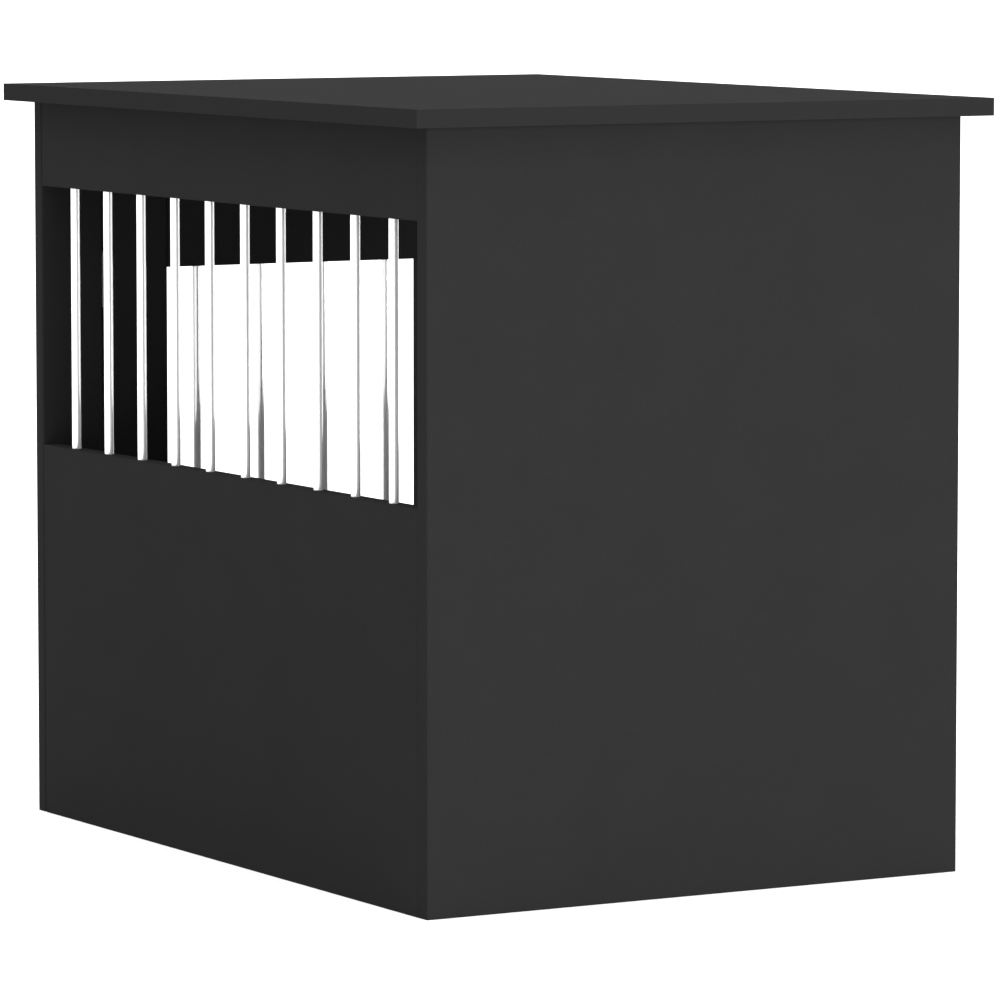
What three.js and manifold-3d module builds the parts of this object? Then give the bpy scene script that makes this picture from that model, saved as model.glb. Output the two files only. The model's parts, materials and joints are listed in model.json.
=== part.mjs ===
// Dog crate end table: a board box under an overhanging top. Each long side has a window
// with upright rods, the back is a plain panel, and the front holds a barred door that
// swings on two butt hinges and is held shut by a slide bolt.
// Millimetres. +Z is up and the door faces -Y. The origin lies on the floor, under the
// middle of the top. Left and right are those of someone who faces the door.
import * as THREE from "three";
import { mergeVertices } from "three/addons/utils/BufferGeometryUtils.js";
import Module from "manifold-3d";

const wasm = await Module();
wasm.setup();

// ---- Driving dimensions ----

// The top and the box under it. The top hangs over the box equally all round.
const TOP_WIDTH = 550;
const TOP_DEPTH = 750;
const TABLE_HEIGHT = 650;
const TOP_OVERHANG = 20;
const BOARD = 15;

// A side wall is a rail under the top, an open window, and a panel up to the sill.
const SIDE_RAIL_HEIGHT = 75;
const SILL_HEIGHT = 330;

// The fixed front frame, and the door's own frame inside it.
const FRONT_STILE_WIDTH = 60;
const FRONT_TOP_RAIL_HEIGHT = 75;
const FRONT_BOTTOM_RAIL_HEIGHT = 60;
const DOOR_STILE_WIDTH = 62;
const DOOR_RAIL_HEIGHT = 73;

// Round rods stand in blind holes. The end space runs from a window's end to its first rod.
const ROD_RADIUS = 4;
const ROD_SEAT = 10;
const SIDE_ROD_COUNT = 10;
const SIDE_ROD_END_SPACE = 52;
const DOOR_ROD_COUNT = 4;
const DOOR_ROD_END_SPACE = 32.5;

// Butt hinges, with their leaves on the edges of the boards and their knuckles outside.
const HINGE_HEIGHT = 50;
const HINGE_FROM_DOOR_END = 57;
const KNUCKLE_COUNT = 5;
const LEAF_THICKNESS = 1.2;
const LEAF_GAP = 0.6;
const LEAF_SETBACK = 2;
const LEAF_SCREW_SPACING = 30;
const PIN_RADIUS = 1.5;
const PIN_HEAD_RADIUS = 2.6;
const PIN_HEAD_HEIGHT = 1.6;
const PIN_TAIL = 1;

// Slide bolt: a plate with two straps on the door, and a keeper plate with one strap.
const LATCH_PLATE_LENGTH = 41;
const KEEPER_PLATE_LENGTH = 16;
const LATCH_PLATE_HEIGHT = 26;
const LATCH_PLATE_THICKNESS = 1.2;
const LATCH_EDGE_DISTANCE = 3;
const STRAP_WIDTH = 8;
const STRAP_THICKNESS = 1.2;
const STRAP_BEND = 1;
const BOLT_RADIUS = 3;
const BOLT_CHAMFER = 0.8;
const BOLT_TIP_INSET = 1;
const BOLT_TIP_SHORT = 1;
const BOLT_TAIL_HOLD = 3;
const KNOB_RADIUS = 4;
const KNOB_LENGTH = 6.5;
const KNOB_STEM_RADIUS = 1.8;
const KNOB_REACH = 17;

// Countersunk screws with heads at 45 degrees.
const SCREW_RADIUS = 1.5;
const SCREW_HEAD_RADIUS = 2.7;
const SCREW_SINK = 0.1;
const SCREW_TIP = 2;
const SCREW_BACK_COVER = 3;
const HINGE_SCREW_LENGTH = 16;

// Clearances: a seat is the space round a piece that stands in a hole of its own shape.
const SEAT_GAP = 0.3;
const BOLT_CLEARANCE = 0.4;

// Sides of the polygons that stand for circles, and the reach of a cut past a face.
const ROUND_SIDES = 16;
const SCREW_SIDES = 12;
const CUT_PAST = 1;

// ---- Places worked out from them ----

const BODY_HEIGHT = TABLE_HEIGHT - BOARD;
const SIDE_X = TOP_WIDTH / 2 - TOP_OVERHANG;
const BACK_Y = TOP_DEPTH / 2 - TOP_OVERHANG;
const FRONT_Y = -BACK_Y;
const SIDE_INNER_X = SIDE_X - BOARD;
const BACK_INNER_Y = BACK_Y - BOARD;
const FRONT_INNER_Y = FRONT_Y + BOARD;
const FRONT_MIDDLE_Y = FRONT_Y + BOARD / 2;
const WINDOW_TOP = BODY_HEIGHT - SIDE_RAIL_HEIGHT;

const DOOR_GAP = 2 * LEAF_THICKNESS + LEAF_GAP;
const FRAME_EDGE_X = SIDE_X - FRONT_STILE_WIDTH;
const FRAME_TOP = BODY_HEIGHT - FRONT_TOP_RAIL_HEIGHT;
const DOOR_EDGE_X = FRAME_EDGE_X - DOOR_GAP;
const DOOR_TOP = FRAME_TOP - DOOR_GAP;
const DOOR_BOTTOM = FRONT_BOTTOM_RAIL_HEIGHT + DOOR_GAP;
const DOOR_OPENING_X = DOOR_EDGE_X - DOOR_STILE_WIDTH;
const DOOR_OPENING_TOP = DOOR_TOP - DOOR_RAIL_HEIGHT;
const DOOR_OPENING_BOTTOM = DOOR_BOTTOM + DOOR_RAIL_HEIGHT;

const KNUCKLE_BORE = PIN_RADIUS + SEAT_GAP;
const KNUCKLE_RADIUS = KNUCKLE_BORE + LEAF_THICKNESS;
const HINGE_X = DOOR_EDGE_X + DOOR_GAP / 2;
const HINGE_Y = FRONT_Y - SEAT_GAP - KNUCKLE_RADIUS;
const LEAF_BACK_Y = FRONT_INNER_Y - LEAF_SETBACK;
const LEAF_MIDDLE_Y = (FRONT_Y + LEAF_BACK_Y) / 2;
const HINGE_MIDDLES = {
  upper: DOOR_TOP - HINGE_FROM_DOOR_END - HINGE_HEIGHT / 2,
  lower: DOOR_BOTTOM + HINGE_FROM_DOOR_END + HINGE_HEIGHT / 2,
};

const LATCH_Z = (DOOR_TOP + DOOR_BOTTOM) / 2;
const LATCH_FRONT_Y = FRONT_Y - LATCH_PLATE_THICKNESS;
const STRAP_BORE = BOLT_RADIUS + BOLT_CLEARANCE;
const BOLT_Y = LATCH_FRONT_Y - STRAP_BORE;
const LATCH_PLATE_X = [
  -DOOR_EDGE_X + LATCH_EDGE_DISTANCE,
  -DOOR_EDGE_X + LATCH_EDGE_DISTANCE + LATCH_PLATE_LENGTH,
];
const KEEPER_PLATE_X = [
  -FRAME_EDGE_X - LATCH_EDGE_DISTANCE - KEEPER_PLATE_LENGTH,
  -FRAME_EDGE_X - LATCH_EDGE_DISTANCE,
];
const OUTER_STRAP_X = LATCH_PLATE_X[0];
const INNER_STRAP_X = LATCH_PLATE_X[1] - STRAP_WIDTH;
const KEEPER_STRAP_X = (KEEPER_PLATE_X[0] + KEEPER_PLATE_X[1] - STRAP_WIDTH) / 2;
const LATCH_SCREW_Z = (STRAP_BORE + STRAP_THICKNESS + LATCH_PLATE_HEIGHT / 2) / 2;

// The bolt is drawn back at rest. Thrown, its tip fills the keeper's strap but for the
// last of it, and its tail still lies in the inner strap.
const BOLT_TIP_X = -DOOR_EDGE_X + BOLT_TIP_INSET;
const BOLT_THROW = BOLT_TIP_X - (KEEPER_STRAP_X + BOLT_TIP_SHORT);
const BOLT_TAIL_X = INNER_STRAP_X + BOLT_TAIL_HOLD + BOLT_THROW;
const KNOB_X = (OUTER_STRAP_X + STRAP_WIDTH + INNER_STRAP_X + BOLT_THROW) / 2;

// ---- Materials ----

const board = new THREE.MeshStandardMaterial({ color: "#343434", roughness: 0.55, metalness: 0 });
const chrome = new THREE.MeshStandardMaterial({ color: "#e8e9eb", roughness: 0.08, metalness: 1 });
const nickel = new THREE.MeshStandardMaterial({ color: "#b9b8b4", roughness: 0.28, metalness: 1 });
const zinc = new THREE.MeshStandardMaterial({ color: "#a9abad", roughness: 0.35, metalness: 1 });

// ---- Solids, cuts and joins ----

const AWAY = {
  right: new THREE.Vector3(1, 0, 0),
  left: new THREE.Vector3(-1, 0, 0),
  back: new THREE.Vector3(0, 1, 0),
  front: new THREE.Vector3(0, -1, 0),
  up: new THREE.Vector3(0, 0, 1),
};

// A closed geometry as a solid that can be cut and joined.
function solidOf(geometry) {
  const bare = geometry.clone();
  bare.deleteAttribute("normal");
  bare.deleteAttribute("uv");
  const merged = mergeVertices(bare);
  return new wasm.Manifold(
    new wasm.Mesh({
      numProp: 3,
      vertProperties: merged.getAttribute("position").array,
      triVerts: new Uint32Array(merged.index.array),
    }),
  );
}

// A solid as a geometry with a flat normal on each triangle.
function geometryOf(solid) {
  const { vertProperties, triVerts } = solid.getMesh();
  const shared = new THREE.BufferGeometry();
  shared.setAttribute("position", new THREE.BufferAttribute(vertProperties, 3));
  shared.setIndex(new THREE.BufferAttribute(triVerts, 1));
  const flat = shared.toNonIndexed();
  flat.computeVertexNormals();
  return flat;
}

const join = (geometries) => geometries.map(solidOf).reduce((all, next) => all.add(next));
const cut = (solid, cutters) =>
  cutters.map(solidOf).reduce((left, cutter) => left.subtract(cutter), solid);

// A box between two values on each axis.
function box([x0, x1], [y0, y1], [z0, z1]) {
  const geometry = new THREE.BoxGeometry(x1 - x0, y1 - y0, z1 - z0);
  return geometry.translate((x0 + x1) / 2, (y0 + y1) / 2, (z0 + z1) / 2);
}

// A round solid from [radius, distance] pairs. Distances run from a point along a direction.
// A lathe turns its outline about +Y, which is then laid along that direction.
function turned(profile, start, direction, sides) {
  const outline = profile.map(([radius, distance]) => new THREE.Vector2(radius, distance));
  const turn = new THREE.Quaternion().setFromUnitVectors(AWAY.back, direction);
  const geometry = new THREE.LatheGeometry(outline, sides);
  return geometry.applyQuaternion(turn).translate(start.x, start.y, start.z);
}

// A plain round bar from one distance to another along a direction.
function bar(radius, from, to, start, direction, sides = ROUND_SIDES) {
  const profile = [
    [0, from],
    [radius, from],
    [radius, to],
    [0, to],
  ];
  return turned(profile, start, direction, sides);
}

// A named mesh that stands at the middle of its own box.
function piece(name, geometry, material) {
  geometry.computeBoundingBox();
  const middle = geometry.boundingBox.getCenter(new THREE.Vector3());
  geometry.translate(-middle.x, -middle.y, -middle.z);
  const mesh = new THREE.Mesh(geometry, material);
  mesh.name = name;
  mesh.position.copy(middle);
  return mesh;
}

// A board between two values on each axis, with its holes cut.
function boardPiece(name, xs, ys, zs, cutters = []) {
  const plain = box(xs, ys, zs);
  const geometry = cutters.length ? geometryOf(cut(solidOf(plain), cutters)) : plain;
  return piece(name, geometry, board);
}

// ---- Rods ----

// Distances of the rods from the middle of a window.
function rodRow(windowLength, endSpace, count) {
  const pitch = (windowLength - 2 * endSpace) / (count - 1);
  return Array.from({ length: count }, (_, i) => (i - (count - 1) / 2) * pitch);
}

const SIDE_ROD_YS = rodRow(
  BACK_INNER_Y - FRONT_INNER_Y,
  SIDE_ROD_END_SPACE,
  SIDE_ROD_COUNT,
).map((along) => along + (BACK_INNER_Y + FRONT_INNER_Y) / 2);
const DOOR_ROD_XS = rodRow(2 * DOOR_OPENING_X, DOOR_ROD_END_SPACE, DOOR_ROD_COUNT);

const sideRodPlaces = (x) => SIDE_ROD_YS.map((y) => new THREE.Vector3(x, y, 0));
const doorRodPlaces = DOOR_ROD_XS.map((x) => new THREE.Vector3(x, FRONT_MIDDLE_Y, 0));

// A blind hole in the board over or under a window, a little wider and deeper than the rod.
const holeUp = (place, z) =>
  bar(ROD_RADIUS + SEAT_GAP, z - CUT_PAST, z + ROD_SEAT + SEAT_GAP, place, AWAY.up);
const holeDown = (place, z) =>
  bar(ROD_RADIUS + SEAT_GAP, z - ROD_SEAT - SEAT_GAP, z + CUT_PAST, place, AWAY.up);

// A row of rods, seated in the boards at both ends.
function rods(name, places, bottom, top) {
  const digits = String(places.length).length;
  return places.map((place, i) => {
    const geometry = bar(ROD_RADIUS, bottom - ROD_SEAT, top + ROD_SEAT, place, AWAY.up);
    return piece(`${name}_${String(i + 1).padStart(digits, "0")}`, geometry, chrome);
  });
}

// ---- Screws ----

// A countersunk screw. The hole for one is the same shape with a seat gap round it.
function screwShape(length, start, direction) {
  const profile = [
    [0, 0],
    [SCREW_HEAD_RADIUS, 0],
    [SCREW_RADIUS, SCREW_HEAD_RADIUS - SCREW_RADIUS],
    [SCREW_RADIUS, length - SCREW_TIP],
    [0, length],
  ];
  return turned(profile, start, direction, SCREW_SIDES);
}

function screwHole(length, start, direction) {
  const head = SCREW_HEAD_RADIUS + SEAT_GAP;
  const shank = SCREW_RADIUS + SEAT_GAP;
  const profile = [
    [0, -CUT_PAST],
    [head, -CUT_PAST],
    [head, 0],
    [shank, head - shank],
    [shank, length + SEAT_GAP],
    [0, length + SEAT_GAP],
  ];
  return turned(profile, start, direction, SCREW_SIDES);
}

// ---- Butt hinges ----

// Where the screws of a leaf start, and which way they go: into the frame or into the door.
const LEAF_SIDES = {
  frame: { faceX: FRAME_EDGE_X - LEAF_THICKNESS, boardX: FRAME_EDGE_X, into: AWAY.right },
  door: { faceX: DOOR_EDGE_X + LEAF_THICKNESS, boardX: DOOR_EDGE_X, into: AWAY.left },
};

function leafScrewStarts(side, middleZ) {
  const { faceX, into } = LEAF_SIDES[side];
  return [-1, 1].map(
    (end) =>
      new THREE.Vector3(
        faceX + into.x * SCREW_SINK,
        LEAF_MIDDLE_Y,
        middleZ + (end * LEAF_SCREW_SPACING) / 2,
      ),
  );
}

const leafScrewHoles = (side) =>
  Object.values(HINGE_MIDDLES).flatMap((middleZ) =>
    leafScrewStarts(side, middleZ).map((start) =>
      screwHole(HINGE_SCREW_LENGTH, start, LEAF_SIDES[side].into),
    ),
  );

// The knuckles take turns up the pin: the frame leaf has the first, third and so on.
function knuckleRanges(side, middleZ) {
  const length = (HINGE_HEIGHT - (KNUCKLE_COUNT - 1) * SEAT_GAP) / KNUCKLE_COUNT;
  const first = side === "frame" ? 0 : 1;
  const ranges = [];
  for (let i = first; i < KNUCKLE_COUNT; i += 2) {
    const low = middleZ - HINGE_HEIGHT / 2 + i * (length + SEAT_GAP);
    ranges.push([low, low + length]);
  }
  return ranges;
}

// A leaf is a plate on the board's edge, with knuckles that it reaches by short necks.
function leafPiece(name, side, middleZ) {
  const { faceX, boardX, into } = LEAF_SIDES[side];
  const plateXs = [Math.min(faceX, boardX), Math.max(faceX, boardX)];
  const plateZs = [middleZ - HINGE_HEIGHT / 2, middleZ + HINGE_HEIGHT / 2];
  const axis = new THREE.Vector3(HINGE_X, HINGE_Y, 0);
  const neckEndY = HINGE_Y + (KNUCKLE_BORE + KNUCKLE_RADIUS) / 2;
  const ranges = knuckleRanges(side, middleZ);
  const outside = join([
    box(plateXs, [FRONT_Y, LEAF_BACK_Y], plateZs),
    ...ranges.map((zs) => box(plateXs, [neckEndY, LEAF_MIDDLE_Y], zs)),
    ...ranges.map(([low, high]) => bar(KNUCKLE_RADIUS, low, high, axis, AWAY.up)),
  ]);
  const bore = bar(KNUCKLE_BORE, plateZs[0] - CUT_PAST, plateZs[1] + CUT_PAST, axis, AWAY.up);
  const holes = leafScrewStarts(side, middleZ).map((start) =>
    screwHole(HINGE_SCREW_LENGTH, start, into),
  );
  return piece(name, geometryOf(cut(outside, [bore, ...holes])), nickel);
}

// The pin hangs by its head, which rides just over the top knuckle.
function pinPiece(name, middleZ) {
  const top = middleZ + HINGE_HEIGHT / 2 + SEAT_GAP;
  const profile = [
    [0, middleZ - HINGE_HEIGHT / 2 - PIN_TAIL],
    [PIN_RADIUS, middleZ - HINGE_HEIGHT / 2 - PIN_TAIL],
    [PIN_RADIUS, top],
    [PIN_HEAD_RADIUS, top],
    [PIN_HEAD_RADIUS, top + PIN_HEAD_HEIGHT / 2],
    [PIN_HEAD_RADIUS / 2, top + PIN_HEAD_HEIGHT],
    [0, top + PIN_HEAD_HEIGHT],
  ];
  const axis = new THREE.Vector3(HINGE_X, HINGE_Y, 0);
  return piece(name, turned(profile, axis, AWAY.up, ROUND_SIDES), nickel);
}

// ---- Slide bolt ----

// A flat strap bent square over the bolt, with its feet in the plate.
function strap(x) {
  const outer = STRAP_BORE + STRAP_THICKNESS;
  const inside = 2 * STRAP_BORE;
  const outside = inside + STRAP_THICKNESS;
  const foot = -LATCH_PLATE_THICKNESS / 2;
  const outline = [
    [-outer, foot],
    [-STRAP_BORE, foot],
    [-STRAP_BORE, inside],
    [STRAP_BORE, inside],
    [STRAP_BORE, foot],
    [outer, foot],
    [outer, outside - STRAP_BEND],
    [outer - STRAP_BEND, outside],
    [STRAP_BEND - outer, outside],
    [-outer, outside - STRAP_BEND],
  ];
  const arch = new THREE.Shape(outline.map(([across, away]) => new THREE.Vector2(across, away)));
  const geometry = new THREE.ExtrudeGeometry(arch, { depth: STRAP_WIDTH, bevelEnabled: false });
  const turn = new THREE.Matrix4().makeBasis(AWAY.up, AWAY.front, AWAY.right);
  return geometry.applyMatrix4(turn).translate(x, LATCH_FRONT_Y, LATCH_Z);
}

// Screws sit above and below the bolt, at the given places along a plate.
const plateScrewStarts = (xs) =>
  xs.flatMap((x) =>
    [-1, 1].map(
      (end) => new THREE.Vector3(x, LATCH_FRONT_Y + SCREW_SINK, LATCH_Z + end * LATCH_SCREW_Z),
    ),
  );
const latchScrewStarts = plateScrewStarts([
  OUTER_STRAP_X + STRAP_WIDTH / 2,
  INNER_STRAP_X + STRAP_WIDTH / 2,
]);
const keeperScrewStarts = plateScrewStarts([KEEPER_STRAP_X + STRAP_WIDTH / 2]);
const PLATE_SCREW_LENGTH = LATCH_PLATE_THICKNESS + BOARD - SCREW_BACK_COVER;
const plateScrewHoles = (starts) =>
  starts.map((start) => screwHole(PLATE_SCREW_LENGTH, start, AWAY.back));
const plateScrews = (name, starts) =>
  starts.map((start, i) =>
    piece(`${name}_${i + 1}`, screwShape(PLATE_SCREW_LENGTH, start, AWAY.back), zinc),
  );

function platePiece(name, xs, strapXs, screwStarts) {
  const zs = [LATCH_Z - LATCH_PLATE_HEIGHT / 2, LATCH_Z + LATCH_PLATE_HEIGHT / 2];
  const joined = join([box(xs, [LATCH_FRONT_Y, FRONT_Y], zs), ...strapXs.map(strap)]);
  return piece(name, geometryOf(cut(joined, plateScrewHoles(screwStarts))), nickel);
}

// The bolt is a bar with chamfered ends, and its knob stands out between the straps.
function boltPiece(name) {
  const length = BOLT_TAIL_X - BOLT_TIP_X;
  const knobEnd = KNOB_REACH - (FRONT_Y - BOLT_Y);
  const barProfile = [
    [0, 0],
    [BOLT_RADIUS - BOLT_CHAMFER, 0],
    [BOLT_RADIUS, BOLT_CHAMFER],
    [BOLT_RADIUS, length - BOLT_CHAMFER],
    [BOLT_RADIUS - BOLT_CHAMFER, length],
    [0, length],
  ];
  const knobProfile = [
    [0, 0],
    [KNOB_STEM_RADIUS, 0],
    [KNOB_STEM_RADIUS, knobEnd - KNOB_LENGTH],
    [KNOB_RADIUS - BOLT_CHAMFER, knobEnd - KNOB_LENGTH],
    [KNOB_RADIUS, knobEnd - KNOB_LENGTH + BOLT_CHAMFER],
    [KNOB_RADIUS, knobEnd - BOLT_CHAMFER],
    [KNOB_RADIUS - BOLT_CHAMFER, knobEnd],
    [0, knobEnd],
  ];
  const tip = new THREE.Vector3(BOLT_TIP_X, BOLT_Y, LATCH_Z);
  const knob = new THREE.Vector3(KNOB_X, BOLT_Y, LATCH_Z);
  const joined = join([
    turned(barProfile, tip, AWAY.right, ROUND_SIDES),
    turned(knobProfile, knob, AWAY.front, ROUND_SIDES),
  ]);
  return piece(name, geometryOf(joined), nickel);
}

// ---- Assembly ----

// A group at a place of its own, for pieces that were made at their places in the table.
function groupAt(name, place, pieces) {
  const group = new THREE.Group();
  group.name = name;
  group.position.copy(place);
  pieces.forEach((mesh) => group.add(mesh));
  pieces.forEach((mesh) => mesh.position.sub(place));
  return group;
}

const FLOOR_CENTRE = new THREE.Vector3(0, 0, 0);

const shell = groupAt("shell", FLOOR_CENTRE, [
  boardPiece(
    "top_panel",
    [-TOP_WIDTH / 2, TOP_WIDTH / 2],
    [-TOP_DEPTH / 2, TOP_DEPTH / 2],
    [BODY_HEIGHT, TABLE_HEIGHT],
  ),
  boardPiece(
    "bottom_panel",
    [-SIDE_INNER_X, SIDE_INNER_X],
    [FRONT_INNER_Y, BACK_INNER_Y],
    [0, BOARD],
  ),
  boardPiece("back_panel", [-SIDE_X, SIDE_X], [BACK_INNER_Y, BACK_Y], [0, BODY_HEIGHT]),
]);

function sideWall(name, xs) {
  const places = sideRodPlaces((xs[0] + xs[1]) / 2);
  const ys = [FRONT_INNER_Y, BACK_INNER_Y];
  const upper = places.map((place) => holeUp(place, WINDOW_TOP));
  const lower = places.map((place) => holeDown(place, SILL_HEIGHT));
  return groupAt(`${name}_side`, FLOOR_CENTRE, [
    boardPiece(`${name}_side_rail`, xs, ys, [WINDOW_TOP, BODY_HEIGHT], upper),
    boardPiece(`${name}_side_panel`, xs, ys, [0, SILL_HEIGHT], lower),
    ...rods(`${name}_rod`, places, SILL_HEIGHT, WINDOW_TOP),
  ]);
}

const FRONT_YS = [FRONT_Y, FRONT_INNER_Y];

const frontFrame = groupAt("front_frame", FLOOR_CENTRE, [
  boardPiece(
    "front_left_stile",
    [-SIDE_X, -FRAME_EDGE_X],
    FRONT_YS,
    [0, BODY_HEIGHT],
    plateScrewHoles(keeperScrewStarts),
  ),
  boardPiece(
    "front_right_stile",
    [FRAME_EDGE_X, SIDE_X],
    FRONT_YS,
    [0, BODY_HEIGHT],
    leafScrewHoles("frame"),
  ),
  boardPiece(
    "front_top_rail",
    [-FRAME_EDGE_X, FRAME_EDGE_X],
    FRONT_YS,
    [FRAME_TOP, BODY_HEIGHT],
  ),
  boardPiece(
    "front_bottom_rail",
    [-FRAME_EDGE_X, FRAME_EDGE_X],
    FRONT_YS,
    [0, FRONT_BOTTOM_RAIL_HEIGHT],
  ),
]);

// Leaf and pin pieces of both hinges, for one of the bodies that they join.
const hingeLeaves = (side) =>
  Object.entries(HINGE_MIDDLES).map(([which, middleZ]) =>
    leafPiece(`${which}_hinge_${side}_leaf`, side, middleZ),
  );
const hingePins = Object.entries(HINGE_MIDDLES).map(([which, middleZ]) =>
  pinPiece(`${which}_hinge_pin`, middleZ),
);

const frameHardware = groupAt("frame_hardware", FLOOR_CENTRE, [
  ...hingeLeaves("frame"),
  ...hingePins,
  platePiece("latch_keeper", KEEPER_PLATE_X, [KEEPER_STRAP_X], keeperScrewStarts),
  ...plateScrews("keeper_screw", keeperScrewStarts),
]);

// The door's group stands on its hinge axis, so that turning the group opens the door.
const door = groupAt("door", new THREE.Vector3(HINGE_X, HINGE_Y, 0), [
  boardPiece(
    "door_hinge_stile",
    [DOOR_OPENING_X, DOOR_EDGE_X],
    FRONT_YS,
    [DOOR_BOTTOM, DOOR_TOP],
    leafScrewHoles("door"),
  ),
  boardPiece(
    "door_latch_stile",
    [-DOOR_EDGE_X, -DOOR_OPENING_X],
    FRONT_YS,
    [DOOR_BOTTOM, DOOR_TOP],
    plateScrewHoles(latchScrewStarts),
  ),
  boardPiece(
    "door_top_rail",
    [-DOOR_OPENING_X, DOOR_OPENING_X],
    FRONT_YS,
    [DOOR_OPENING_TOP, DOOR_TOP],
    doorRodPlaces.map((place) => holeUp(place, DOOR_OPENING_TOP)),
  ),
  boardPiece(
    "door_bottom_rail",
    [-DOOR_OPENING_X, DOOR_OPENING_X],
    FRONT_YS,
    [DOOR_BOTTOM, DOOR_OPENING_BOTTOM],
    doorRodPlaces.map((place) => holeDown(place, DOOR_OPENING_BOTTOM)),
  ),
  ...rods("door_rod", doorRodPlaces, DOOR_OPENING_BOTTOM, DOOR_OPENING_TOP),
  ...hingeLeaves("door"),
  platePiece("latch_plate", LATCH_PLATE_X, [OUTER_STRAP_X, INNER_STRAP_X], latchScrewStarts),
  ...plateScrews("latch_screw", latchScrewStarts),
]);

// The bolt's group stands on the bolt's tip, and slides to the left by BOLT_THROW.
const bolt = groupAt("bolt", new THREE.Vector3(BOLT_TIP_X, BOLT_Y, LATCH_Z), [
  boltPiece("latch_bolt"),
]);

const table = new THREE.Group();
table.name = "dog_crate_end_table";
table.add(
  shell,
  sideWall("left", [-SIDE_X, -SIDE_INNER_X]),
  sideWall("right", [SIDE_INNER_X, SIDE_X]),
  frontFrame,
  frameHardware,
  door,
  bolt,
);

export default table;
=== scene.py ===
# %% [markdown]
# # A dog crate end table, dressed over its construction model
# The construction model holds every board, rod, hinge and latch piece at its real size. This
# lesson keeps that frame as it is and puts a finished surface over each piece: edge-banded
# boards, chromed rods and pressed hardware. Loading the frame first means that every new
# surface can take its place and size from the piece that it stands for.

# %% Load the frame
import json
import math

import bmesh
import bpy
import numpy as np
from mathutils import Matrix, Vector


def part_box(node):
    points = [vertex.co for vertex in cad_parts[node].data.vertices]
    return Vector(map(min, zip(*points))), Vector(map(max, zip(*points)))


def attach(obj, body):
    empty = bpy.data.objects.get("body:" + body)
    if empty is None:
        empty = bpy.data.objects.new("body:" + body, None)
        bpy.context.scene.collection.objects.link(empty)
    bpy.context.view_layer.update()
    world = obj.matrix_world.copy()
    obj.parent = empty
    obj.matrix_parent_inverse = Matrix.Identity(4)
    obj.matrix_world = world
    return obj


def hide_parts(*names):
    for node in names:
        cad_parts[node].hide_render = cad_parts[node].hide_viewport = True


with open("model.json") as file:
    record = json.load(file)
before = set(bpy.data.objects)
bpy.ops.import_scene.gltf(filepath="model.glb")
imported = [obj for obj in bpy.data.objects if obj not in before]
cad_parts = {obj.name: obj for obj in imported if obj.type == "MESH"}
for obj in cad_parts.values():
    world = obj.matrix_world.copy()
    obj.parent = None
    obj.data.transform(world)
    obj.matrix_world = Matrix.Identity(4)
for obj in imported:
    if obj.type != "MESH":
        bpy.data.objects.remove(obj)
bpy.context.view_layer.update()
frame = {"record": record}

# %% [markdown]
# ## Measures
# The frame is in metres, but furniture is drawn in millimetres, so shapes are worked out in
# millimetres and turned to metres when a mesh is made. Each piece belongs to a body that
# moves as one, such as the door, and takes its finish from a material slot of the record.

# %% Units and the frame's own lists
MM = 0.001
X, Y, Z = 0, 1, 2
BODY_OF = {
    node: body
    for body, nodes in frame["record"]["behaviour"]["bodies"].items()
    for node in nodes
}
SLOT_OF = {row["node"]: row["material_slot"] for row in frame["record"]["subparts"]}


def corners(node):
    """Lowest and highest corner of a piece of the frame, in millimetres."""
    low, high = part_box(node)
    return np.array(low) / MM, np.array(high) / MM


def nodes_of(slot, word=""):
    """Names of the frame's pieces in a material slot whose name holds a word."""
    return [node for node in BODY_OF if SLOT_OF[node] == slot and word in node]


print("boards:", len(nodes_of("board")), "rods:", len(nodes_of("rod")))

# %% Give a piece its place in the frame


def finished(piece, body):
    """The piece moves with a body. Its shading is weighted by face area, so that a wide
    flat face stays flat beside its narrow eased edge."""
    piece.modifiers.new("even_shading", "WEIGHTED_NORMAL").keep_sharp = True
    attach(piece, body)
    return piece


def stands_for(piece, node):
    """The piece takes the place of a node: it rides where the node does and hides it."""
    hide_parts(node)
    return finished(piece, BODY_OF[node])


print("material slots:", sorted(set(SLOT_OF.values())))

# %% [markdown]
# ## The camera
# A picture's perspective fixes where its camera stood: the corners of the top and of the box
# give eleven points, and the place, direction and focal length are what puts all of them
# right at once. The camera stands back and a long lens is used, so the sides hardly
# converge. A level camera with a shifted lens would also do, but a slightly pitched one keeps
# the object in the middle when the view turns round it.

# %% Place the camera
CAMERA_PLACE_M = (2.7471, 4.7815, 0.8309)
CAMERA_HEADING = 210.038
CAMERA_PITCH = 5.5365
FOCAL_LENGTH_MM = 230.77
FARTHEST_SEEN_M = 200

camera_data = bpy.data.cameras.new("camera")
camera_data.lens = FOCAL_LENGTH_MM
camera_data.clip_end = FARTHEST_SEEN_M
camera = bpy.data.objects.new("camera", camera_data)
camera.location = CAMERA_PLACE_M
camera.rotation_euler = (math.radians(90 - CAMERA_PITCH), 0, math.radians(-CAMERA_HEADING))
bpy.context.scene.collection.objects.link(camera)
bpy.context.scene.camera = camera
bpy.context.scene.view_settings.view_transform = "Standard"
print("camera stands", round(math.hypot(*CAMERA_PLACE_M[:2]), 2), "m from the middle of the table")

# %% [markdown]
# ## Colours and nodes
# Paint charts and pictures give colours as sRGB values, but light adds up in linear values.
# One function turns a hex colour to linear, and one adds a node with its settings, its
# values and its links, so that each material below reads as a short list. Real surfaces are
# never quite even, so most of them get their colour and gloss from a noise.

# %% Helpers for every material


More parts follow.
